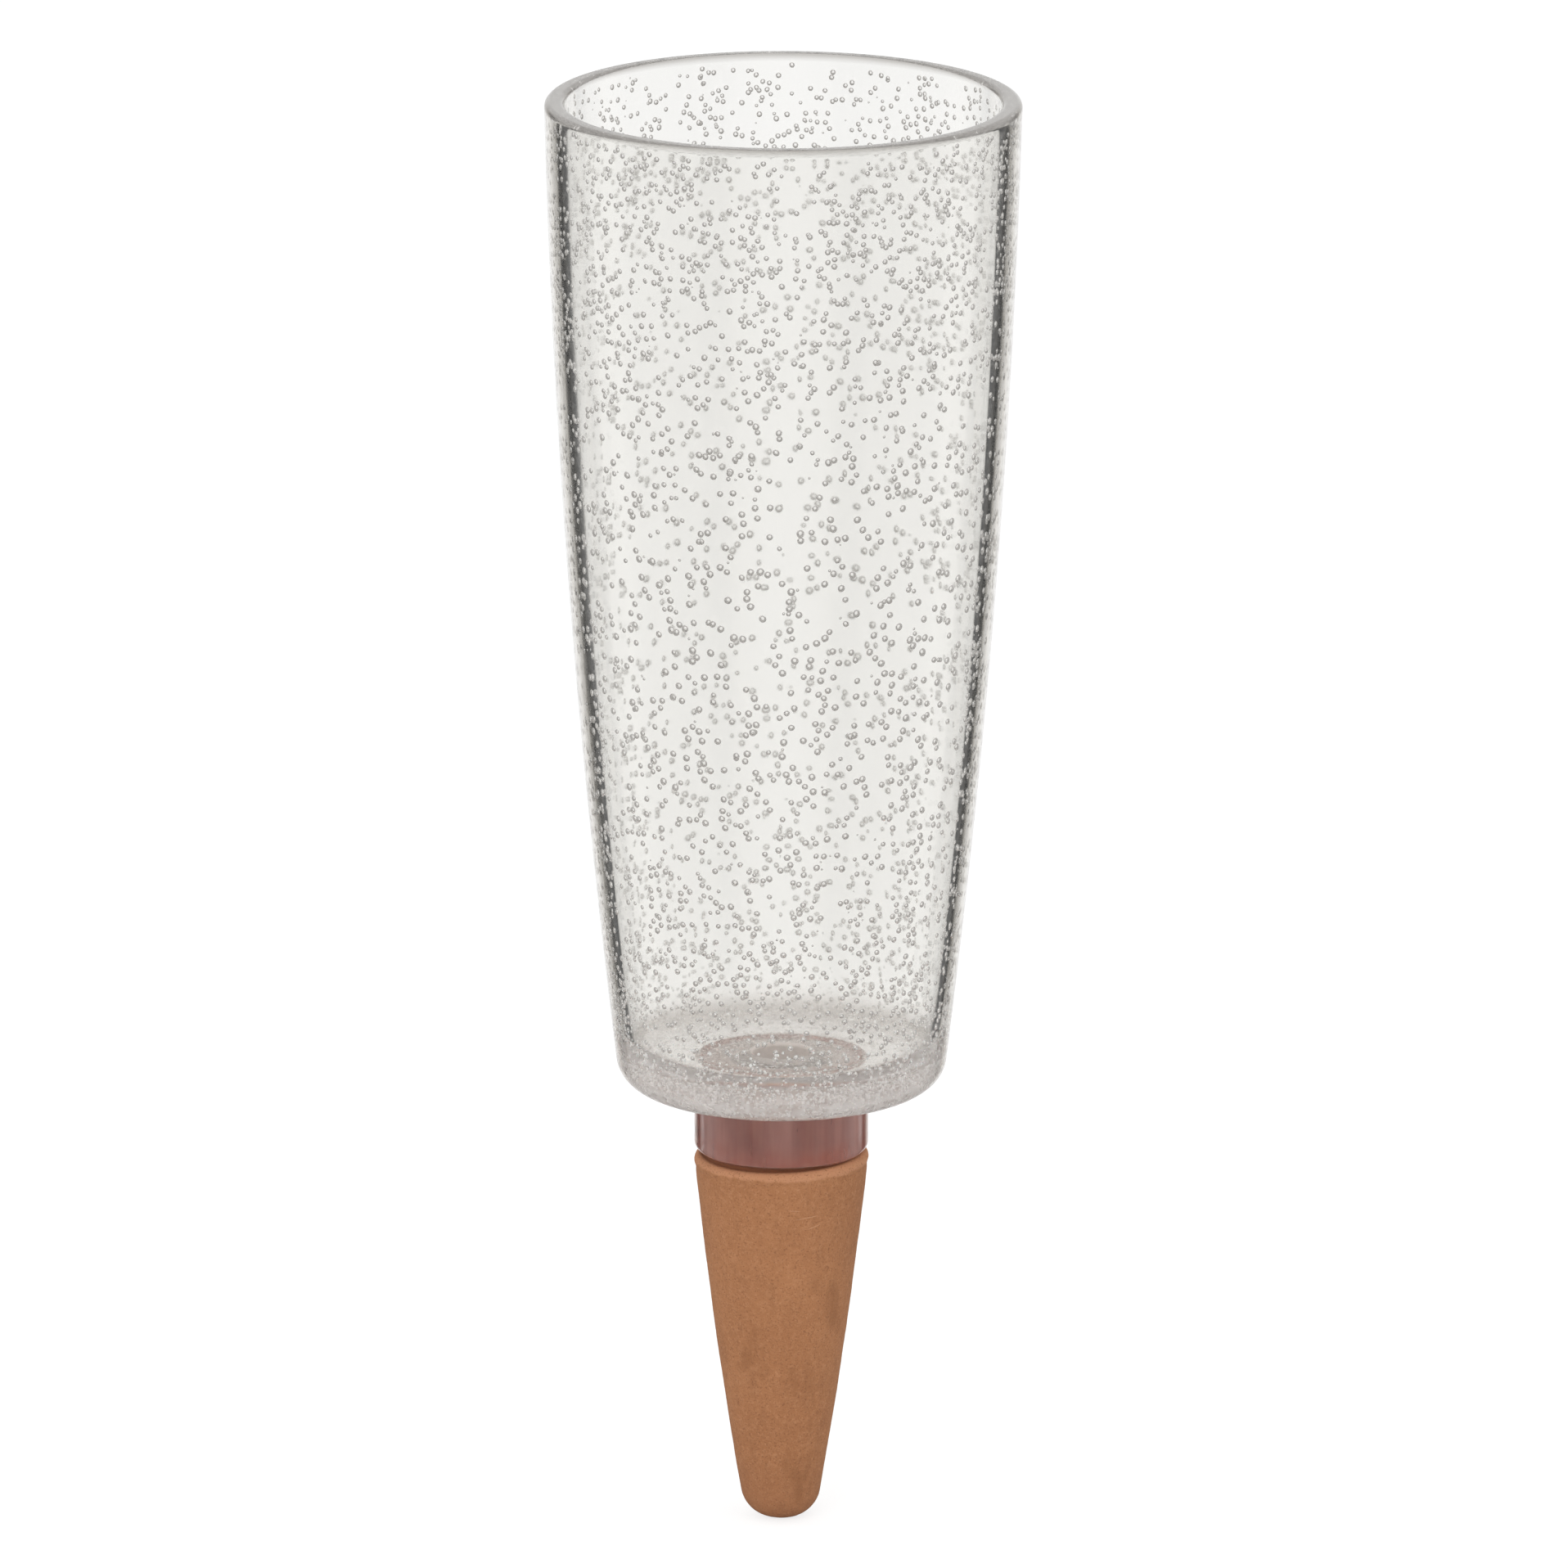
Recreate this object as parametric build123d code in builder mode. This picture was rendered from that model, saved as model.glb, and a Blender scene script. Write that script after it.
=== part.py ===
from build123d import *
import os

# Self watering spike: a clear cup of bubbled plastic on a hollow clay cone that is pushed into
# the soil. Millimetres, +Z up, origin at the lowest point of the clay cone.
# The cup and its collar pull straight up off a soft seal, and the seal off the clay neck.

# Cup: a tapered tumbler with slightly bowed sides, a flat rim with rounded edges and a thick floor
cup_height = 170.8
rim_radius = 40.0
foot_radius = 27.5
side_bulge = 2.15
rim_wall = 3.5
rim_round = 1.1
foot_wall = 2.9
floor_thickness = 5.8
foot_round = 5.4
floor_round = 6.0
outlet_radius = 4.9
outlet_round = 0.8
seat_depth = 0.8

# Collar: a thin clear sleeve bonded into a shallow seat in the cup's foot, with a web that has
# the same hole as the floor. Its height is what stands out below the foot.
collar_height = 11.4
collar_radius = 14.8
collar_wall = 1.1
web_thickness = 2.0
lip_height = 1.4
lip_land = 0.3
bond_gap = 0.05
dimple_radius = 2.0
dimple_depth = 0.35
dimple_height = 3.1

# Seal: a soft cap that grips the clay neck inside the collar
seal_wall = 0.5
seal_flange = 2.0
seal_skirt = 7.9
push_clearance = 0.08

# Clay cone: shoulder under the collar, plain neck above it, blunt tip
cone_length = 64.8
shoulder_gap = 0.9
shoulder_radius = 14.9
tip_radius = 6.0
cone_bulge = 0.52
clay_wall = 4.2
tip_wall = 7.0
hollow_end_radius = 3.2
tip_round = 5.6
shoulder_round = 1.2
neck_round = 0.5

# Levels, from the tip up
collar_bottom = cone_length + shoulder_gap
cup_bottom = collar_bottom + collar_height
seat_level = cup_bottom + seat_depth
web_bottom = seat_level - web_thickness
neck_top = web_bottom - seal_flange
floor_level = cup_bottom + floor_thickness
rim_level = cup_bottom + cup_height

# Radii of the pieces that sit inside each other
bore_radius = collar_radius - collar_wall
seal_radius = bore_radius - push_clearance
seal_bore_radius = seal_radius - seal_wall
neck_radius = seal_bore_radius - push_clearance
hollow_radius = neck_radius - clay_wall
seat_radius = collar_radius + bond_gap


def bowed(low_value, high_value, bulge, share):
    """A value between two ends that stands out by bulge halfway."""
    straight = low_value + (high_value - low_value) * share
    return straight + bulge * 4 * share * (1 - share)


def cup_share(level):
    """How far up the cup's side a level lies, from 0 at the foot to 1 at the rim."""
    return (level - cup_bottom) / (rim_level - cup_bottom)


def outside_radius(level):
    """The cup's outer radius at a level."""
    return bowed(foot_radius, rim_radius, side_bulge, cup_share(level))


def inside_radius(level):
    """The cup's inner radius at a level."""
    wall = bowed(foot_wall, rim_wall, 0, cup_share(level))
    return outside_radius(level) - wall


def cone_radius(level):
    """The clay cone's outer radius at a level."""
    return bowed(tip_radius, shoulder_radius, cone_bulge, level / cone_length)


def outline_corner(sketch, radius, level):
    """The corner of an outline nearest to a radius and a level."""
    return sketch.vertices().sort_by_distance(Vector(radius, level))[0]


# Cup
side_middle = (cup_bottom + rim_level) / 2
inside_middle = (floor_level + rim_level) / 2
inner_rim_radius = rim_radius - rim_wall

with BuildPart() as reservoir_cup:
    with BuildSketch(Plane.XZ) as cup_outline:
        with BuildLine():
            Polyline(
                (outlet_radius, floor_level),
                (outlet_radius, seat_level),
                (seat_radius, seat_level),
                (seat_radius, cup_bottom),
                (foot_radius, cup_bottom),
            )
            ThreePointArc(
                (foot_radius, cup_bottom),
                (outside_radius(side_middle), side_middle),
                (rim_radius, rim_level),
            )
            Line((rim_radius, rim_level), (inner_rim_radius, rim_level))
            ThreePointArc(
                (inner_rim_radius, rim_level),
                (inside_radius(inside_middle), inside_middle),
                (inside_radius(floor_level), floor_level),
            )
            Line((inside_radius(floor_level), floor_level), (outlet_radius, floor_level))
        make_face()
        fillet(outline_corner(cup_outline, rim_radius, rim_level), rim_round)
        fillet(outline_corner(cup_outline, inner_rim_radius, rim_level), rim_round)
        fillet(outline_corner(cup_outline, foot_radius, cup_bottom), foot_round)
        fillet(outline_corner(cup_outline, inside_radius(floor_level), floor_level), floor_round)
        fillet(outline_corner(cup_outline, outlet_radius, floor_level), outlet_round)
    revolve(axis=Axis.Z)
reservoir_cup.part.label = "reservoir_cup"

# Collar
lip_level = collar_bottom + lip_height
lip_radius = bore_radius + lip_land
dimple_centre = collar_radius + dimple_radius - dimple_depth
dimple_level = collar_bottom + dimple_height

with BuildPart() as neck_collar:
    with BuildSketch(Plane.XZ):
        with BuildLine():
            Polyline(
                (lip_radius, collar_bottom),
                (bore_radius, collar_bottom),
                (bore_radius, web_bottom),
                (outlet_radius, web_bottom),
                (outlet_radius, seat_level),
                (collar_radius, seat_level),
                (collar_radius, lip_level),
            )
            TangentArc((collar_radius, lip_level), (lip_radius, collar_bottom), tangent=(0, -1))
        make_face()
    revolve(axis=Axis.Z)
    with Locations((-dimple_centre, 0, dimple_level)):
        Sphere(dimple_radius, mode=Mode.SUBTRACT)
neck_collar.part.label = "neck_collar"

# Seal
seal_bottom = neck_top - seal_skirt

with BuildPart() as seal_sleeve:
    with BuildSketch(Plane.XZ):
        with BuildLine():
            Polyline(
                (seal_bore_radius, seal_bottom),
                (seal_radius, seal_bottom),
                (seal_radius, web_bottom),
                (hollow_radius, web_bottom),
                (hollow_radius, neck_top),
                (seal_bore_radius, neck_top),
                close=True,
            )
        make_face()
    revolve(axis=Axis.Z)
seal_sleeve.part.label = "seal_sleeve"

# Clay cone, hollow down to the tip's wall
cone_middle = cone_length / 2
hollow_end_level = tip_wall + hollow_end_radius
taper_share = (shoulder_radius - neck_radius) / (shoulder_radius - tip_radius)
taper_level = cone_length * (1 - taper_share)

with BuildPart() as clay_cone:
    with BuildSketch(Plane.XZ) as cone_outline:
        with BuildLine():
            Line((0, 0), (tip_radius, 0))
            ThreePointArc(
                (tip_radius, 0),
                (cone_radius(cone_middle), cone_middle),
                (shoulder_radius, cone_length),
            )
            Polyline(
                (shoulder_radius, cone_length),
                (neck_radius, cone_length),
                (neck_radius, neck_top),
                (hollow_radius, neck_top),
                (hollow_radius, taper_level),
                (hollow_end_radius, hollow_end_level),
            )
            RadiusArc((hollow_end_radius, hollow_end_level), (0, tip_wall), hollow_end_radius)
            Line((0, tip_wall), (0, 0))
        make_face()
        fillet(outline_corner(cone_outline, tip_radius, 0), tip_round)
        fillet(outline_corner(cone_outline, shoulder_radius, cone_length), shoulder_round)
        fillet(outline_corner(cone_outline, neck_radius, cone_length), neck_round)
        fillet(outline_corner(cone_outline, neck_radius, neck_top), neck_round)
    revolve(axis=Axis.Z)
clay_cone.part.label = "clay_cone"

# Files
os.makedirs("parts", exist_ok=True)
export_step(reservoir_cup.part, "parts/reservoir_cup.step")
export_step(neck_collar.part, "parts/neck_collar.step")
export_step(seal_sleeve.part, "parts/seal_sleeve.step")
export_step(clay_cone.part, "parts/clay_cone.step")
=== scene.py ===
import math
import random

import bpy
from mathutils import Matrix, Vector, noise


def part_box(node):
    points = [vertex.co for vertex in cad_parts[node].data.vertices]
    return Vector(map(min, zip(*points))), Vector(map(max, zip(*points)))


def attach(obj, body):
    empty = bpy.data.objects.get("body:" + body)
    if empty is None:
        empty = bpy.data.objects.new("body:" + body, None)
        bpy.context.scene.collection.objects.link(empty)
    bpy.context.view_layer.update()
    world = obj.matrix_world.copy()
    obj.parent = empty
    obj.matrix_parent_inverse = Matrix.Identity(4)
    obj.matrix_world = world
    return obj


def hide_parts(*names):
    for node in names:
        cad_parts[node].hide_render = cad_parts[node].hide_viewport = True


# Self watering spike: a clear cup of bubbled plastic on a hollow clay cone. The frame has its
# origin at the tip of the cone, +Z up and the viewer of the photograph at -Y.
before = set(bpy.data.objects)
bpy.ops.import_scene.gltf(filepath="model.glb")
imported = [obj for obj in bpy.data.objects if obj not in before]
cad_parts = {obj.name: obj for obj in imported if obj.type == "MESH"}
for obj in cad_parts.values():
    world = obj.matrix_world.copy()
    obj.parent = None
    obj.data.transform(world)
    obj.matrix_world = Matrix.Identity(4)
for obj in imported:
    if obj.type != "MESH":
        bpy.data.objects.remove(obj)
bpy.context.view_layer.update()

MM = 0.001
TURN = 2 * math.pi

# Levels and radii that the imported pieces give
cup_low, cup_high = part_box("reservoir_cup")
collar_low, collar_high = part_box("neck_collar")
seal_low, seal_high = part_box("seal_sleeve")
_, cone_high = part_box("clay_cone")

cup_bottom = cup_low.z
rim_level = cup_high.z
collar_bottom = collar_low.z
seat_level = collar_high.z
collar_radius = collar_high.x
seal_bottom = seal_low.z
web_bottom = seal_high.z
seal_radius = seal_high.x
neck_top = cone_high.z

# Cup
rim_radius = 40.0 * MM
foot_radius = 27.5 * MM
side_bulge = 2.15 * MM
rim_wall = 3.5 * MM
rim_round = 1.1 * MM
foot_wall = 2.9 * MM
floor_thickness = 5.8 * MM
foot_round = 5.4 * MM
floor_round = 6.0 * MM
outlet_radius = 4.9 * MM
outlet_round = 0.8 * MM
bond_gap = 0.05 * MM
side_start = 10 * MM
flow_line_height = 0.0005 * MM
floor_level = cup_bottom + floor_thickness
seat_radius = collar_radius + bond_gap

# Collar. Its web is bonded to the floor without air between, so it stands this deep in it
bond_depth = 0.02 * MM
collar_wall = 1.1 * MM
lip_height = 1.4 * MM
lip_land = 0.3 * MM
dimple_radius = 2.0 * MM
dimple_depth = 0.35 * MM
dimple_level = collar_bottom + 3.1 * MM
web_round = 0.3 * MM
bore_radius = collar_radius - collar_wall

# Seal. It is drawn a hair wider than the bore, and ends a little above its solid
seal_wall = 0.5 * MM
push_clearance = 0.08 * MM
skin_gap = 0.02 * MM
skirt_trim = 0.25 * MM
skirt_round = 0.1 * MM
flange_round = 0.15 * MM
seal_bore_radius = seal_radius - seal_wall
neck_radius = seal_bore_radius - push_clearance

# Clay cone
clay_wall = 4.2 * MM
hollow_radius = neck_radius - clay_wall
shoulder_level = 64.8 * MM
shoulder_radius = 14.9 * MM
tip_radius = 6.0 * MM
cone_bulge = 0.52 * MM
tip_wall = 7.0 * MM
hollow_end_radius = 3.2 * MM
tip_round = 5.6 * MM
shoulder_round = 1.2 * MM
neck_round = 0.5 * MM
mouth_round = 0.3 * MM
cone_side_start = 8 * MM
cone_side_end = shoulder_level - 2 * MM
shoulder_lift = 0.72 * MM
bead_height = 0.1 * MM
groove_level = 62.5 * MM
groove_reach = 0.45 * MM

# Bubbles. The foot's sizes are radii in millimetres
side_bubble_count = 6200
foot_bubble_count = 4400
between_bubbles = 0.05 * MM
side_bubble_radius = 0.43 * MM
halfway_extra_radius = 0.17 * MM
side_bubble_cover = 0.3 * MM
lowest_side_level = floor_level - 1 * MM
highest_side_level = rim_level - 0.5 * MM
lowest_bubble_share = 0.028
highest_bubble_share = 0.988
neighbour_spread = 1.6 * MM
foot_bubble_sizes = (0.12, 0.14, 0.17, 0.2, 0.24, 0.29)
foot_bubble_start = 0.4 * MM
foot_bubble_reach = 16 * MM
shallowest_cover = 0.2 * MM
deepest_cover = 1.4 * MM
floor_bubble_cover = 0.5 * MM


def bowed(low_value, high_value, bulge, share):
    """A value between two ends that stands out by bulge halfway."""
    straight = low_value + (high_value - low_value) * share
    return straight + bulge * 4 * share * (1 - share)


def cup_share(level):
    """How far up the cup's side a level lies, from 0 at the foot to 1 at the rim."""
    return (level - cup_bottom) / (rim_level - cup_bottom)


def outside_radius(level):
    """The cup's outer radius at a level."""
    return bowed(foot_radius, rim_radius, side_bulge, cup_share(level))


def inside_radius(level):
    """The cup's inner radius at a level."""
    return outside_radius(level) - bowed(foot_wall, rim_wall, 0, cup_share(level))


def cone_radius(level):
    """The clay cone's outer radius at a level."""
    return bowed(tip_radius, shoulder_radius, cone_bulge, level / shoulder_level)


def eased(value, low, high):
    """0 below low, 1 above high, and a smooth rise between."""
    share = min(max((value - low) / (high - low), 0), 1)
    return share * share * (3 - 2 * share)


# Outlines and turned meshes


def rounded(corners, steps=8):
    """An outline of (radius, level, rounding) corners, with an arc at each rounded one."""
    points = []
    for index, (radius, level, rounding) in enumerate(corners):
        corner = Vector((radius, level))
        if not rounding:
            points.append(corner)
            continue
        before = Vector(corners[index - 1][:2]) - corner
        after = Vector(corners[(index + 1) % len(corners)][:2]) - corner
        before.normalize()
        after.normalize()
        half = before.angle(after) / 2
        centre = corner + (before + after).normalized() * (rounding / math.sin(half))
        start = corner + before * (rounding / math.tan(half)) - centre
        end = corner + after * (rounding / math.tan(half)) - centre
        sweep = start.angle_signed(end)
        for step in range(steps + 1):
            points.append(centre + Matrix.Rotation(-sweep * step / steps, 2) @ start)
    return points


def arc(centre, radius, first, last, steps):
    """Outline corners on an arc from one angle to another, in degrees."""
    for step in range(steps + 1):
        angle = math.radians(first + (last - first) * step / steps)
        yield centre[0] + radius * math.cos(angle), centre[1] + radius * math.sin(angle), 0


def spaced(low, high, count):
    """Evenly spaced levels from low to high."""
    return [low + (high - low) * step / (count - 1) for step in range(count)]


def turned(name, outline, columns, shape=None, sharp_turn=35):
    """A closed mesh of an outline turned round the axis. shape may move each point."""
    points, faces = [], []
    rows = len(outline)
    for column in range(columns):
        angle = TURN * column / columns
        for radius, level in outline:
            point = Vector((radius * math.cos(angle), radius * math.sin(angle), level))
            points.append(shape(point) if shape else point)
        here = column * rows
        beside = (column + 1) % columns * rows
        for row in range(rows):
            after = (row + 1) % rows
            faces.append((here + row, beside + row, beside + after, here + after))
    mesh = bpy.data.meshes.new(name)
    mesh.from_pydata(points, [], faces)
    mesh.validate()
    mesh.polygons.foreach_set("use_smooth", [True] * len(mesh.polygons))
    corners = set()
    for row in range(rows):
        before = outline[row] - outline[row - 1]
        after = outline[(row + 1) % rows] - outline[row]
        if before.length and after.length and math.degrees(before.angle(after)) > sharp_turn:
            corners.add(row)
    for edge in mesh.edges:
        first, last = edge.vertices
        if first % rows == last % rows and first % rows in corners:
            edge.use_edge_sharp = True
    piece = bpy.data.objects.new(name, mesh)
    bpy.context.scene.collection.objects.link(piece)
    return piece


# Shader writing


class Shade:
    """One output of a shader node, which can be used in sums and products."""

    def __init__(self, tree, node=None, output=0):
        self.tree = tree
        self.node = node
        self.output = output

    def __getitem__(self, output):
        return Shade(self.tree, self.node, output)

    def make(self, kind, settings=None, sockets=None):
        """A new node: its settings first, then the values or links of its sockets."""
        node = self.tree.nodes.new("ShaderNode" + kind)
        for key, value in (settings or {}).items():
            if key == "stops":
                ramp = node.color_ramp.elements
                while len(ramp) < len(value):
                    ramp.new(0.5)
                for element, (place, colour) in zip(ramp, value):
                    element.position = place
                    element.color = (*colour, 1)
            else:
                setattr(node, key, value)
        for key, value in (sockets or {}).items():
            if isinstance(value, Shade):
                self.tree.links.new(value.node.outputs[value.output], node.inputs[key])
            else:
                node.inputs[key].default_value = value
        return Shade(self.tree, node)

    def reckon(self, operation, first, second=None):
        """A Math node on one or two values."""
        sockets = {0: first}
        if second is not None:
            sockets[1] = second
        return self.make("Math", {"operation": operation}, sockets)

    def __add__(self, other):
        return self.reckon("ADD", self, other)

    __radd__ = __add__

    def __sub__(self, other):
        return self.reckon("SUBTRACT", self, other)

    def __rsub__(self, other):
        return self.reckon("SUBTRACT", other, self)

    def __mul__(self, other):
        return self.reckon("MULTIPLY", self, other)

    __rmul__ = __mul__

    def __truediv__(self, other):
        return self.reckon("DIVIDE", self, other)

    def __gt__(self, other):
        return self.reckon("GREATER_THAN", self, other)

    def __abs__(self):
        return self.reckon("ABSOLUTE", self)

    def at_least(self, other):
        """The larger of this and another value."""
        return self.reckon("MAXIMUM", self, other)

    def ramp(self, low, high, low_value=0.0, high_value=1.0):
        """This value, smoothly mapped from one range to another and kept inside it."""
        sockets = {0: self, 1: low, 2: high, 3: low_value, 4: high_value}
        return self.make("MapRange", {"interpolation_type": "SMOOTHSTEP"}, sockets)

    def colours(self, low, high):
        """A colour between two, by this value."""
        low = (*low, 1) if isinstance(low, tuple) else low
        high = (*high, 1) if isinstance(high, tuple) else high
        return self.make("Mix", {"data_type": "RGBA"}, {0: self, 6: low, 7: high})[2]

    def dimmed(self, share):
        """This colour times a value."""
        return self.make("VectorMath", {"operation": "SCALE"}, {0: self, "Scale": share})

    def noise(self, scale, detail=2.0):
        """Noise of this many waves per metre at this place."""
        return self.make("TexNoise", None, {"Vector": self, "Scale": scale, "Detail": detail})


def shader(name):
    """A new material, the place to write its nodes, and a point of the surface."""
    material = bpy.data.materials.new(name)
    material.use_nodes = True
    material.node_tree.nodes.clear()
    start = Shade(material.node_tree)
    return material, start, start.make("TexCoord")["Object"]


def finish_shader(start, surface):
    """The material's output."""
    start.make("OutputMaterial", None, {"Surface": surface})


def squared_reach(spot):
    """The squared distance of a point from the axis."""
    return spot["X"] * spot["X"] + spot["Y"] * spot["Y"]


def clear_cup_plastic():
    """Clear moulded plastic with a warm grey tint, darkened at the rim by painted shade, and milky
    in the thick foot and its drilled hole."""
    material, start, place = shader("clear_cup_plastic")
    spot = start.make("SeparateXYZ", None, {0: place})
    level = spot["Z"]
    spread = squared_reach(spot)
    polish = place.noise(240.0).ramp(0.3, 0.7, -0.01, 0.01)
    # Painted shade: edge darkens the tint towards the top of the rim, for the rim's grey band
    rim_shade_start = rim_level - 1.3 * MM
    rim_shade_end = rim_level - 0.5 * MM
    edge = level.ramp(rim_shade_start, rim_shade_end)
    satin_level = cup_bottom + 1 * MM
    gloss_level = floor_level + 1 * MM
    body = start.make("BsdfPrincipled", None, {
        "Base Color": edge.colours((0.99, 0.985, 0.965), (0.6, 0.58, 0.56)),
        "Roughness": level.ramp(satin_level, gloss_level, 0.1, 0.046) + polish,
        "IOR": 1.57,
        "Transmission Weight": 1.0,
    })
    drilled_radius = outlet_radius + 0.3 * MM
    plain_radius = outlet_radius + 0.8 * MM
    hole = spread.ramp(drilled_radius ** 2, plain_radius ** 2, 1.0, 0.0)
    milk = start.make("BsdfPrincipled", None, {
        "Base Color": hole.colours((0.62, 0.555, 0.525), (0.72, 0.645, 0.61)),
        "Roughness": place.noise(900.0).ramp(0.3, 0.7, 0.2, 0.4),
        "IOR": 1.57,
    })
    haze_low = cup_bottom + 3 * MM
    haze_high = floor_level + 6 * MM
    thin_radius = foot_radius - 8 * MM
    thick_radius = foot_radius - 2 * MM
    haze = level.ramp(haze_low, haze_high, 0.38, 0.0)
    haze = haze * spread.ramp(thin_radius ** 2, thick_radius ** 2, 0.5, 1.0)
    milkiness = haze.at_least(hole * 0.7)
    finish_shader(start, start.make("MixShader", None, {0: milkiness, 1: body, 2: milk}))
    return material


def clear_collar_plastic():
    """Clear plastic without bubbles, turned smooth."""
    material, start, place = shader("clear_collar_plastic")
    body = start.make("BsdfPrincipled", None, {
        "Base Color": (0.98, 0.95, 0.95, 1),
        "Roughness": place.noise(300.0).ramp(0.3, 0.7, 0.04, 0.09),
        "IOR": 1.5,
        "Transmission Weight": 1.0,
    })
    finish_shader(start, body)
    return material


def bubble_skin(name, roughness, clearness):
    """The inside of an air bubble in clear plastic."""
    material, start, _ = shader(name)
    body = start.make("BsdfPrincipled", None, {
        "Base Color": (1, 1, 1, 1),
        "Roughness": roughness,
        "IOR": 1.57,
        "Transmission Weight": clearness,
    })
    finish_shader(start, body)
    return material


def bare_clay():
    """Unglazed fired clay: warm brown, finely pored, with damp stains and light scratches."""
    material, start, place = shader("bare_clay")
    spot = start.make("SeparateXYZ", None, {0: place})
    across, level = spot["X"], spot["Z"]
    front = spot["Y"].ramp(-4 * MM, 0.0, 1.0, 0.0)
    cloud = place.noise(75.0, 3.0)
    mottle = place.noise(1100.0, 2.0)
    grain = place.noise(3400.0, 2.0)
    upright = start.make("Mapping", None, {"Vector": place, "Scale": (1.0, 1.0, 0.3)})
    smear = upright.noise(520.0, 3.0)
    tone = cloud.ramp(0.3, 0.7).colours((0.36, 0.158, 0.071), (0.41, 0.185, 0.084))
    tone = smear.ramp(0.5, 0.75, 0.0, 0.3).colours(tone, (0.27, 0.118, 0.055))
    # Painted light: the beaded top of the shoulder is made lighter, as where light from above the
    # front falls on it
    shoulder_light_start = shoulder_level - 0.6 * MM
    shoulder_painted_light = (level + smear * 1.5 * MM).ramp(shoulder_light_start, shoulder_level, 0.0, 0.55)
    tone = shoulder_painted_light.colours(tone, (0.6, 0.3, 0.17))
    tone = mottle.ramp(0.45, 0.75, 0.0, 0.4).colours(tone, (0.48, 0.235, 0.118))
    tone = mottle.ramp(0.25, 0.42, 0.3, 0.0).colours(tone, (0.31, 0.132, 0.06))
    tone = grain.ramp(0.3, 0.44, 0.6, 0.0).colours(tone, (0.2, 0.082, 0.038))
    tone = grain.ramp(0.58, 0.72, 0.0, 0.4).colours(tone, (0.56, 0.29, 0.155))
    # Darker towards the tip
    darkest_tip_level = 2 * MM
    tip_fade_level = 14 * MM
    tone = level.ramp(darkest_tip_level, tip_fade_level, 0.25, 0.0).colours(tone, (0.26, 0.115, 0.06))

    # Painted shade: the neck and the step at its foot, in the gap under the collar, are darker
    step_inside = neck_radius + 0.4 * MM
    step_outside = shoulder_radius - 0.6 * MM
    step_low = shoulder_level - 0.8 * MM
    step_high = shoulder_level - 0.2 * MM
    gap_painted_shade = squared_reach(spot).ramp(step_inside ** 2, step_outside ** 2, 0.85, 0.0)
    gap_painted_shade = gap_painted_shade * level.ramp(step_low, step_high)
    tone = gap_painted_shade.colours(tone, (0.16, 0.055, 0.025))

    # Damp stains on the front: across, level, half width and half height in millimetres, depth
    for x, z, wide, high, depth in (
        (-4.8, 31.7, 2.2, 5.6, 0.45),
        (8.6, 39.5, 1.6, 5.2, 0.5),
        (6.3, 44.5, 2.0, 2.2, 0.3),
        (3.6, 25.7, 4.0, 4.4, 0.3),
        (2.6, 8.5, 2.6, 6.0, 0.5),
        (-0.5, 52.0, 1.0, 4.5, 0.2),
    ):
        aside = (across - x * MM) / (wide * MM)
        above = (level - z * MM) / (high * MM)
        ragged = (smear - 0.5) * 6.0
        reach = aside * aside + above * above + ragged
        damp = reach.ramp(-0.6, 1.3, depth, 0.0) * front
        tone = damp.colours(tone, (0.25, 0.105, 0.045))

    # Light scratches: middle across and level in millimetres, slope, half length in millimetres
    scratch_width = 0.11 * MM
    for x, z, slope, reach in (
        (4.4, 57.0, 0.12, 2.2),
        (5.6, 55.2, 0.3, 1.4),
        (2.2, 58.4, -0.1, 1.2),
    ):
        aside = (across - x * MM) / (reach * MM)
        above = (level - z * MM - (across - x * MM) * slope) / scratch_width
        far = aside * aside + above * above + (mottle - 0.5) * 1.5
        tone = (far.ramp(0.2, 1.0, 0.5, 0.0) * front).colours(tone, (0.6, 0.33, 0.19))

    height = grain + mottle * 1.5
    pore_depth = 0.18 * MM
    bump = start.make("Bump", None, {"Strength": 0.55, "Distance": pore_depth, "Height": height})
    body = start.make("BsdfPrincipled", None, {
        "Base Color": tone,
        "Roughness": grain.ramp(0.2, 0.8, 0.85, 0.97),
        "Specular IOR Level": 0.3,
        "Normal": bump,
    })
    finish_shader(start, body)
    return material


def milky_silicone():
    """Soft milky silicone, seen as a mauve veil over the clay neck, with faint upright streaks
    of painted reflection in its colour.
    """
    material, start, place = shader("milky_silicone")
    spot = start.make("SeparateXYZ", None, {0: place})
    streaks = start.make("Mapping", None, {"Vector": place, "Scale": (1.0, 1.0, 0.1)})
    veil = streaks.noise(420.0, 3.0)
    smudge = place.noise(95.0, 3.0)
    # Painted reflection: lighter upright streaks in the colour, as of bright strips reflected in the
    # glossy collar over it. The same noise also varies roughness and alpha
    tone = veil.ramp(0.25, 0.75).colours((0.54, 0.265, 0.225), (0.66, 0.36, 0.3))
    tone = smudge.ramp(0.4, 0.7, 0.0, 0.5).colours(tone, (0.36, 0.18, 0.16))
    damp_low = collar_bottom + 1 * MM
    damp_high = collar_bottom + 5 * MM
    damp = spot["Z"].ramp(damp_low, damp_high, 0.8, 0.0)
    tone = (damp * smudge.ramp(0.35, 0.6, 1.0, 0.2)).colours(tone, (0.56, 0.19, 0.125))
    top_radius = neck_radius - 0.6 * MM
    top = squared_reach(spot).ramp(top_radius ** 2, neck_radius ** 2, 1.0, 0.0)
    body = start.make("BsdfPrincipled", None, {
        "Base Color": top.colours(tone, (0.66, 0.56, 0.53)),
        "Roughness": veil.ramp(0.3, 0.7, 0.3, 0.45),
        "Alpha": veil.ramp(0.3, 0.7, 0.48, 0.58).at_least(top * 0.9),
    })
    finish_shader(start, body)
    return material


# Bubbles


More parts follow.
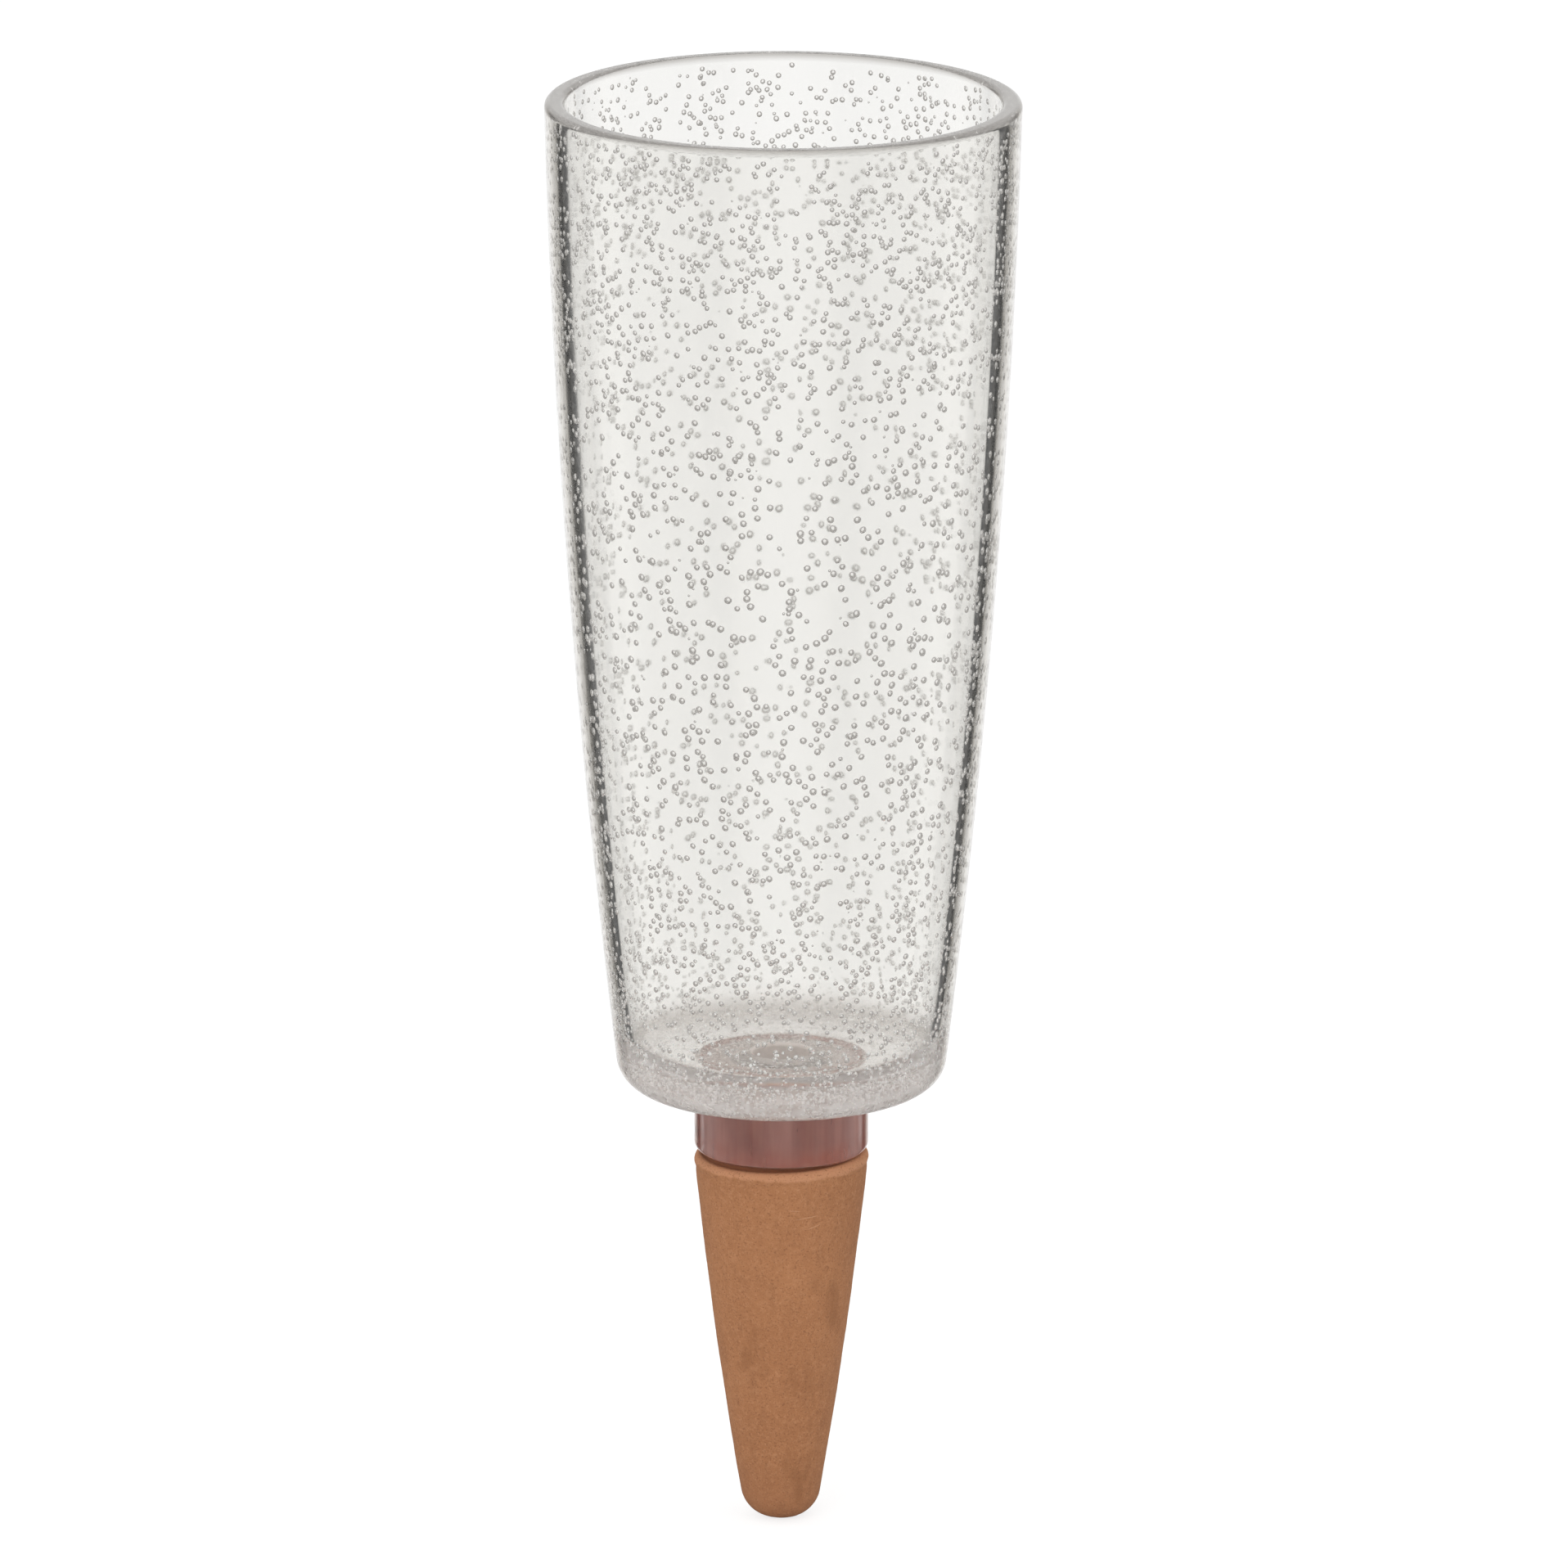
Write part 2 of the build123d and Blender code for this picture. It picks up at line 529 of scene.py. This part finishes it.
def ball():
    """The corners and triangles of a ball of radius 1, with its faces turned inwards. Twelve
    corners make its first triangles, and each of these is cut into four."""
    golden = (1 + math.sqrt(5)) / 2
    corners = []
    for a in (-1, 1):
        for b in (-golden, golden):
            corners += [(0, a, b), (a, b, 0), (b, 0, a)]
    corners = [Vector(c).normalized() for c in corners]
    side = min((p - corners[0]).length for p in corners[1:]) * 1.01
    faces = []
    for i in range(12):
        for j in range(i + 1, 12):
            for k in range(j + 1, 12):
                p, q, r = corners[i], corners[j], corners[k]
                if max((p - q).length, (q - r).length, (r - p).length) < side:
                    outward = (q - p).cross(r - p).dot(p) > 0
                    faces.append((i, k, j) if outward else (i, j, k))
    halfway, finer = {}, []

    def middle(i, j):
        key = (min(i, j), max(i, j))
        if key not in halfway:
            halfway[key] = len(corners)
            corners.append((corners[i] + corners[j]).normalized())
        return halfway[key]

    for i, j, k in faces:
        ij, jk, ki = middle(i, j), middle(j, k), middle(k, i)
        finer += [(i, ij, ki), (j, jk, ij), (k, ki, jk), (ij, jk, ki)]
    return corners, finer


def scattered(count, draw, crowd, seed):
    """Bubbles as (centre, radius), none touching another, some close to the one before."""
    dice = random.Random(seed)
    cell = 2 * MM
    filled = {}
    bubbles = []
    for _ in range(60 * count):
        if len(bubbles) == count:
            break
        near = bubbles[-1] if bubbles and dice.random() < crowd else None
        drawn = draw(dice, near)
        if drawn is None:
            continue
        centre, radius = drawn
        key = tuple(int(c // cell) for c in centre)
        beside = [
            other
            for x in (-1, 0, 1)
            for y in (-1, 0, 1)
            for z in (-1, 0, 1)
            for other in filled.get((key[0] + x, key[1] + y, key[2] + z), ())
        ]
        if any((centre - c).length < radius + r + between_bubbles for c, r in beside):
            continue
        filled.setdefault(key, []).append(drawn)
        bubbles.append(drawn)
    return bubbles


def side_bubble(dice, near):
    """One bubble in the cup's side wall, or None where it falls outside. More of them lie low
    and high, fewer at the back, and those halfway up are larger."""
    if near:
        angle = math.atan2(near[0].y, near[0].x) + dice.gauss(0, neighbour_spread) / rim_radius
        level = near[0].z + dice.gauss(0, neighbour_spread)
    else:
        angle = dice.uniform(0, TURN)
        level = dice.uniform(lowest_side_level, highest_side_level)
    share = cup_share(level)
    if share < lowest_bubble_share or share > highest_bubble_share:
        return None
    crowding = 0.5 + 0.42 * math.exp(-((share - 0.92) / 0.15) ** 2)
    crowding += 0.5 * math.exp(-((share - 0.1) / 0.1) ** 2)
    crowding *= 1 - 0.5 * max(0, math.sin(angle)) * (1 - eased(share, 0.78, 0.9))
    if dice.random() > crowding:
        return None
    size = side_bubble_radius + halfway_extra_radius * math.exp(-((share - 0.5) / 0.3) ** 2)
    radius = size * dice.choice((1.0, 1.0, 1.05, 0.95, 0.9, 1.1, 0.85, 0.7))
    if dice.random() < 0.06:
        radius *= 0.4
    margin = radius + side_bubble_cover
    away = dice.uniform(inside_radius(level) + margin, outside_radius(level) - margin)
    return Vector((away * math.cos(angle), away * math.sin(angle), level)), radius


def foot_bubble(dice, _):
    """One fine bubble just under the outside of the foot, or in the thick floor."""
    angle = dice.uniform(0, TURN)
    radius = dice.choice(foot_bubble_sizes) * MM
    if dice.random() < 0.5:
        height = dice.uniform(foot_bubble_start, foot_bubble_reach) * dice.random()
        cover = dice.uniform(shallowest_cover, deepest_cover)
        away = outside_radius(cup_bottom + height) - cover - radius
        if height < foot_round:
            away -= foot_round - math.sqrt(foot_round ** 2 - (foot_round - height) ** 2)
        return Vector((away * math.cos(angle), away * math.sin(angle), cup_bottom + height)), radius
    inner = outlet_radius + 1.2 * MM
    outer = foot_radius - 0.9 * MM
    away = math.sqrt(dice.uniform(inner ** 2, outer ** 2))
    low = floor_bubble_cover
    round_start = foot_radius - foot_round
    if away > round_start:
        low += foot_round - math.sqrt(foot_round ** 2 - (away - round_start) ** 2)
    if away < seat_radius + floor_bubble_cover:
        low += seat_level - cup_bottom
    high = floor_thickness - floor_bubble_cover
    if away > inside_radius(floor_level) - floor_round:
        high += 2.5 * MM
    if low > high:
        return None
    level = cup_bottom + dice.uniform(low, high)
    return Vector((away * math.cos(angle), away * math.sin(angle), level)), radius


def bubble_mesh(name, bubbles, skin, seed):
    """One mesh of all bubbles, each a little out of round."""
    dice = random.Random(seed)
    corners, faces = ball()
    points, triangles = [], []
    for centre, radius in bubbles:
        first = len(points)
        stretch = Vector((1, 1, dice.uniform(1.0, 1.16)))
        outward = Vector((centre.x, centre.y, 0)).normalized()
        lean = Matrix.Rotation(dice.uniform(-0.6, 0.6), 3, outward)
        for corner in corners:
            points.append(centre + lean @ (corner * radius * stretch))
        triangles += [(first + i, first + j, first + k) for i, j, k in faces]
    mesh = bpy.data.meshes.new(name)
    mesh.from_pydata(points, [], triangles)
    mesh.polygons.foreach_set("use_smooth", [True] * len(mesh.polygons))
    mesh.materials.append(skin)
    piece = bpy.data.objects.new(name, mesh)
    bpy.context.scene.collection.objects.link(piece)
    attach(piece, "cup")


# Pieces


def make_cup(plastic):
    """The tumbler: a bowed wall, a flat rim, a thick floor with its outlet and the collar's seat."""
    side_levels = spaced(cup_bottom + side_start, rim_level - 2 * rim_round, 17)
    outline = [(foot_radius, cup_bottom, foot_round)]
    outline += [(outside_radius(level), level, 0) for level in side_levels]
    outline += [(rim_radius, rim_level, rim_round), (rim_radius - rim_wall, rim_level, rim_round)]
    outline += [(inside_radius(level), level, 0) for level in reversed(side_levels[1:])]
    outline += [
        (inside_radius(floor_level), floor_level, floor_round),
        (outlet_radius, floor_level, outlet_round),
        (outlet_radius, seat_level, 0),
        (seat_radius, seat_level, 0),
        (seat_radius, cup_bottom, 0),
    ]
    dice = random.Random(5)
    waves = [
        (dice.randint(30, 120), dice.uniform(0, TURN), dice.uniform(-30, 30))
        for _ in range(14)
    ]
    smooth_radius = foot_radius - 8 * MM

    def flowed(point):
        """Faint upright flow lines in the wall."""
        angle = math.atan2(point.y, point.x)
        away = math.hypot(point.x, point.y)
        if away < smooth_radius or point.z < floor_level:
            return point
        inner = away < (inside_radius(point.z) + outside_radius(point.z)) / 2
        shift = sum(
            math.sin(count * angle + phase + drift * point.z + (2 if inner else 0))
            for count, phase, drift in waves
        )
        return point + Vector((point.x, point.y, 0)).normalized() * (flow_line_height * shift)

    cup = turned("reservoir_cup_clear", rounded(outline, 12), 360, flowed)
    cup.data.materials.append(plastic)
    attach(cup, "cup")
    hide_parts("reservoir_cup")


def make_bubbles():
    """Clear bubbles in the side wall and fine pale ones in the foot, in a few meshes."""
    skin = bubble_skin("bubble_skin", 0.0, 1.0)
    side = scattered(side_bubble_count, side_bubble, 0.25, 11)
    for part in range(4):
        bubble_mesh(f"wall_bubbles_{part + 1}", side[part::4], skin, 20 + part)
    fine_skin = bubble_skin("fine_bubble_skin", 0.5, 0.0)
    fine = scattered(foot_bubble_count, foot_bubble, 0, 12)
    for part in range(2):
        bubble_mesh(f"foot_bubbles_{part + 1}", fine[part::2], fine_skin, 30 + part)


def make_collar(plastic):
    """The clear sleeve under the foot, with its web, its drawn-in lip and a dimple."""
    lip_radius = bore_radius + lip_land
    lip_level = collar_bottom + lip_height
    lip_drop = collar_radius - lip_radius
    lip_arc = (lip_drop ** 2 + lip_height ** 2) / (2 * lip_drop)
    lip_turn = math.degrees(math.asin(lip_height / lip_arc))
    top = seat_level + bond_depth
    outline = [(bore_radius, collar_bottom, 0)]
    outline += arc((collar_radius - lip_arc, lip_level), lip_arc, -lip_turn, 0, 8)
    outline += [(collar_radius, level, 0) for level in spaced(lip_level, top, 45)[1:]]
    outline += [
        (outlet_radius, top, 0),
        (outlet_radius, web_bottom, 0),
        (bore_radius, web_bottom, web_round),
    ]
    ball_centre = Vector((-collar_radius - dimple_radius + dimple_depth, 0, dimple_level))

    def dimpled(point):
        """A small round dimple in the side."""
        offset = point - ball_centre
        if offset.length < dimple_radius:
            return ball_centre + offset.normalized() * dimple_radius
        return point

    collar = turned("neck_collar_clear", rounded(outline), 300, dimpled)
    collar.data.materials.append(plastic)
    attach(collar, "cup")
    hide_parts("neck_collar")


def make_seal(silicone):
    """The soft sleeve on the clay neck, with the flange that the collar's web rests on."""
    pressed_radius = bore_radius + skin_gap
    outline = [
        (seal_bore_radius, seal_bottom + skirt_trim, skirt_round),
        (pressed_radius, seal_bottom + skirt_trim, skirt_round),
        (pressed_radius, web_bottom - skin_gap, flange_round),
        (hollow_radius, web_bottom - skin_gap, flange_round),
        (hollow_radius, neck_top + skin_gap, skirt_round),
        (seal_bore_radius, neck_top + skin_gap, skirt_round),
    ]
    seal = turned("seal_sleeve_soft", rounded(outline, 4), 160)
    seal.data.materials.append(silicone)
    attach(seal, "seal")
    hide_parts("seal_sleeve")


def make_cone(clay):
    """The hollow clay cone with its neck."""
    taper_share = (shoulder_radius - neck_radius) / (shoulder_radius - tip_radius)
    taper_level = shoulder_level * (1 - taper_share)
    hollow_end_level = tip_wall + hollow_end_radius
    side_levels = spaced(cone_side_start, cone_side_end, 150)
    outline = [(radius, 0, 0) for radius in (0.02 * MM, 0.15 * MM, 0.3 * MM)]
    outline += [(tip_radius, 0, tip_round)]
    outline += [(cone_radius(level), level, 0) for level in side_levels]
    outline += [
        (shoulder_radius, shoulder_level, shoulder_round),
        (neck_radius, shoulder_level, neck_round),
        (neck_radius, neck_top, neck_round),
        (hollow_radius, neck_top, mouth_round),
        (hollow_radius, taper_level, 0),
        (hollow_end_radius, hollow_end_level, 0),
    ]
    outline += arc((0, hollow_end_level), hollow_end_radius, -10, -89, 5)
    hollow_reach = hollow_radius + 0.4 * MM
    hollow_bottom = tip_wall - 1 * MM
    thinnest_wall = 2 * MM
    neck_start = shoulder_level + 1 * MM
    side_reach = neck_radius + 1 * MM
    bead_level = groove_level + 1 * MM
    lift_start = 50 * MM

    def handmade(point):
        """Soft lumps, a beaded shoulder, and a shoulder that lies higher on the right."""
        away = math.hypot(point.x, point.y)
        inside = away < hollow_reach and away < cone_radius(point.z) - thinnest_wall
        if point.z > hollow_bottom and inside:
            return point
        if point.z > neck_start:
            return point
        middle = Vector((0, 0, max(point.z, cone_side_start)))
        outward = (point - middle).normalized()

        # Heights in millimetres, at four sizes of lump
        lumps = 0.11 * noise.noise(point * 75) + 0.05 * noise.noise(point * 260)
        grit = 0.022 * noise.noise(point * 1150) + 0.014 * noise.noise(point * 2300)
        moved = point + outward * ((lumps + grit) * MM)
        if away > side_reach:
            bead = eased(point.z, groove_level, bead_level)
            groove = math.exp(-((point.z - groove_level) / groove_reach) ** 2)
            moved += outward * (bead_height * (bead * 0.8 - groove))
        angle = math.atan2(point.y, point.x)
        rise = eased(point.z, lift_start, shoulder_level) * (0.5 + 0.5 * math.cos(angle - 0.1))
        moved.z += shoulder_lift * rise
        moved.z = max(moved.z, 0)
        return moved

    cone = turned("clay_cone_fired", rounded(outline, 10), 300, handmade)
    cone.data.materials.append(clay)
    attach(cone, "spike")
    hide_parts("clay_cone")


# Studio


def make_floor():
    """A pale floor that touches the tip. It shows from above only and keeps the shadow."""
    mesh = bpy.data.meshes.new("floor")
    reach = 6.0
    corners = [(-reach, -reach, 0), (reach, -reach, 0), (reach, reach, 0), (-reach, reach, 0)]
    mesh.from_pydata(corners, [], [(0, 1, 2, 3)])
    floor = bpy.data.objects.new("floor", mesh)
    bpy.context.scene.collection.objects.link(floor)
    material, start, _ = shader("white_floor")
    seen = start.make("LightPath")["Is Camera Ray"]
    plain = start.make("BsdfDiffuse", None, {"Color": (0.3, 0.3, 0.3, 1)})
    bounce = start.make("BsdfDiffuse", None, {"Color": (0.8, 0.8, 0.8, 1)})
    glow = start.make("Emission", None, {"Color": (1, 1, 1, 1), "Strength": 0.78})
    lit = start.make("AddShader", None, {0: plain, 1: glow})
    surface = start.make("MixShader", None, {0: seen, 1: bounce, 2: lit})
    under = start.make("NewGeometry")["Backfacing"]
    hidden = start.make("BsdfTransparent")
    finish_shader(start, start.make("MixShader", None, {0: under, 1: surface, 2: hidden}))
    mesh.materials.append(material)

    # The plastic shows the studio instead
    floor.visible_glossy = False
    floor.visible_transmission = False


def make_world():
    """White where one looks straight through the plastic, and light grey steeply below.
    Reflections show a studio of four white walls, each with a dark panel along both its edges.
    The panels at the sides are fainter, and the near half is dimmer. Light that has wandered
    long inside the plastic is warm grey below and pale above, and matt surfaces get a soft
    light from all sides."""
    world = bpy.data.worlds.new("studio")
    bpy.context.scene.world = world
    world.use_nodes = True
    world.node_tree.nodes.clear()
    start = Shade(world.node_tree)
    direction = start.make("TexCoord")["Generated"]
    parts = start.make("SeparateXYZ", None, {0: direction})
    x, y, z = parts["X"], parts["Y"], parts["Z"]
    path = start.make("LightPath")
    reflections = path["Glossy Depth"]
    passes = path["Transmission Depth"]

    # -1 in the middle of a side wall, 0 in a corner and 1 in the middle of a far or near wall
    lobe = (y * y - x * x) / (x * x + y * y).at_least(0.0001)
    walls = start.make("ValToRGB", {"stops": [
        (0.0, (0.5, 0.485, 0.46)),
        (0.035, (0.34, 0.33, 0.315)),
        (0.07, (0.13, 0.128, 0.124)),
        (0.105, (0.03, 0.031, 0.033)),
        (0.14, (0.01, 0.012, 0.014)),
        (0.41, (0.01, 0.012, 0.014)),
        (0.455, (0.02, 0.021, 0.022)),
        (0.5, (0.09, 0.085, 0.078)),
        (0.559, (0.29, 0.275, 0.25)),
        (0.629, (0.58, 0.555, 0.515)),
        (0.74, (0.82, 0.8, 0.77)),
        (0.883, (0.96, 0.95, 0.94)),
        (0.96, (1.0, 1.0, 1.0)),
    ]}, {"Fac": abs(lobe)})
    walls = lobe.ramp(-0.08, 0.0, 0.5, 0.0).colours(walls, (0.9, 0.89, 0.87))
    near_side = (passes > 3.5).ramp(0, 1, 0.45, 0.12)
    walls = walls.dimmed(y.ramp(-0.1, 0.5, near_side, 1.0))
    above = z.ramp(0.05, 0.35).colours(walls, (0.92, 0.91, 0.9))
    studio = z.ramp(-0.65, -0.36).colours((0.27, 0.262, 0.252), above)
    inward = z.ramp(-0.3, 0.3).colours((0.35, 0.335, 0.317), (0.82, 0.8, 0.78))
    wandered = (reflections > 4.5).colours(studio, inward)

    straight = z.ramp(-0.8, -0.42).colours((0.74, 0.73, 0.715), (1.0, 1.0, 1.0))
    through = (reflections > 0.5).colours(straight, wandered)
    from_above = z.ramp(0.2, 0.9, 0.55, 0.9)
    from_beside = abs(x).ramp(0.4, 1.0, 0.0, 0.1)
    from_below = z.ramp(-0.1, 0.05, 0.2, 0.0)
    soft = from_above + from_beside + from_below
    soft = (passes > 0.5).colours(soft, (1.0, 1.0, 1.0))
    matt = (path["Diffuse Depth"] > 0.5).colours(through, soft)
    light = path["Is Camera Ray"].colours(matt, (1.0, 1.0, 1.0))
    glow = start.make("Background", None, {"Color": light, "Strength": 1.0})
    start.make("OutputWorld", None, {"Surface": glow})


def make_lamp(name, place, size, power):
    """A large soft lamp that lights matt surfaces only."""
    lamp = bpy.data.lights.new(name, "AREA")
    lamp.shape = "SQUARE"
    lamp.size = size
    lamp.energy = power
    body = bpy.data.objects.new(name, lamp)
    body.location = place
    lit_level = 80 * MM
    aim = Vector((0, 0, lit_level)) - Vector(place)
    body.rotation_euler = aim.to_track_quat("-Z", "Y").to_euler()
    body.visible_glossy = False
    body.visible_transmission = False
    bpy.context.scene.collection.objects.link(body)


def make_camera():
    """A long lens from slightly above, at the photograph's angle."""
    aim = Vector((0.34 * MM, 0, 129.63 * MM))
    distance = 2386.2 * MM
    looking_down = math.radians(15.04)
    roll = math.radians(0.12)
    camera = bpy.data.cameras.new("camera")
    camera.lens = 323.96
    camera.sensor_width = 36
    body = bpy.data.objects.new("camera", camera)
    turn = Matrix.Rotation(math.pi / 2 - looking_down, 3, "X") @ Matrix.Rotation(roll, 3, "Z")
    body.rotation_euler = turn.to_euler()
    body.location = aim + turn @ Vector((0, 0, distance))
    bpy.context.scene.collection.objects.link(body)
    bpy.context.scene.camera = body


make_cup(clear_cup_plastic())
make_bubbles()
make_collar(clear_collar_plastic())
make_seal(milky_silicone())
make_cone(bare_clay())
make_floor()
make_world()
make_lamp("front_lamp", place=(-0.8, -1.6, 0.78), size=1.0, power=12.5)
make_lamp("right_lamp", place=(1.6, -0.8, 0.6), size=1.0, power=5)
make_camera()

scene = bpy.context.scene
scene.view_settings.view_transform = "Standard"

# Light on its way to the matt seal, clay and bubbles passes the clear plastic sharply
scene.cycles.blur_glossy = 0.0

# Enough bounces for light that crosses many bubbles
scene.cycles.max_bounces = 32
scene.cycles.glossy_bounces = 24
scene.cycles.transmission_bounces = 32
scene.cycles.transparent_max_bounces = 16
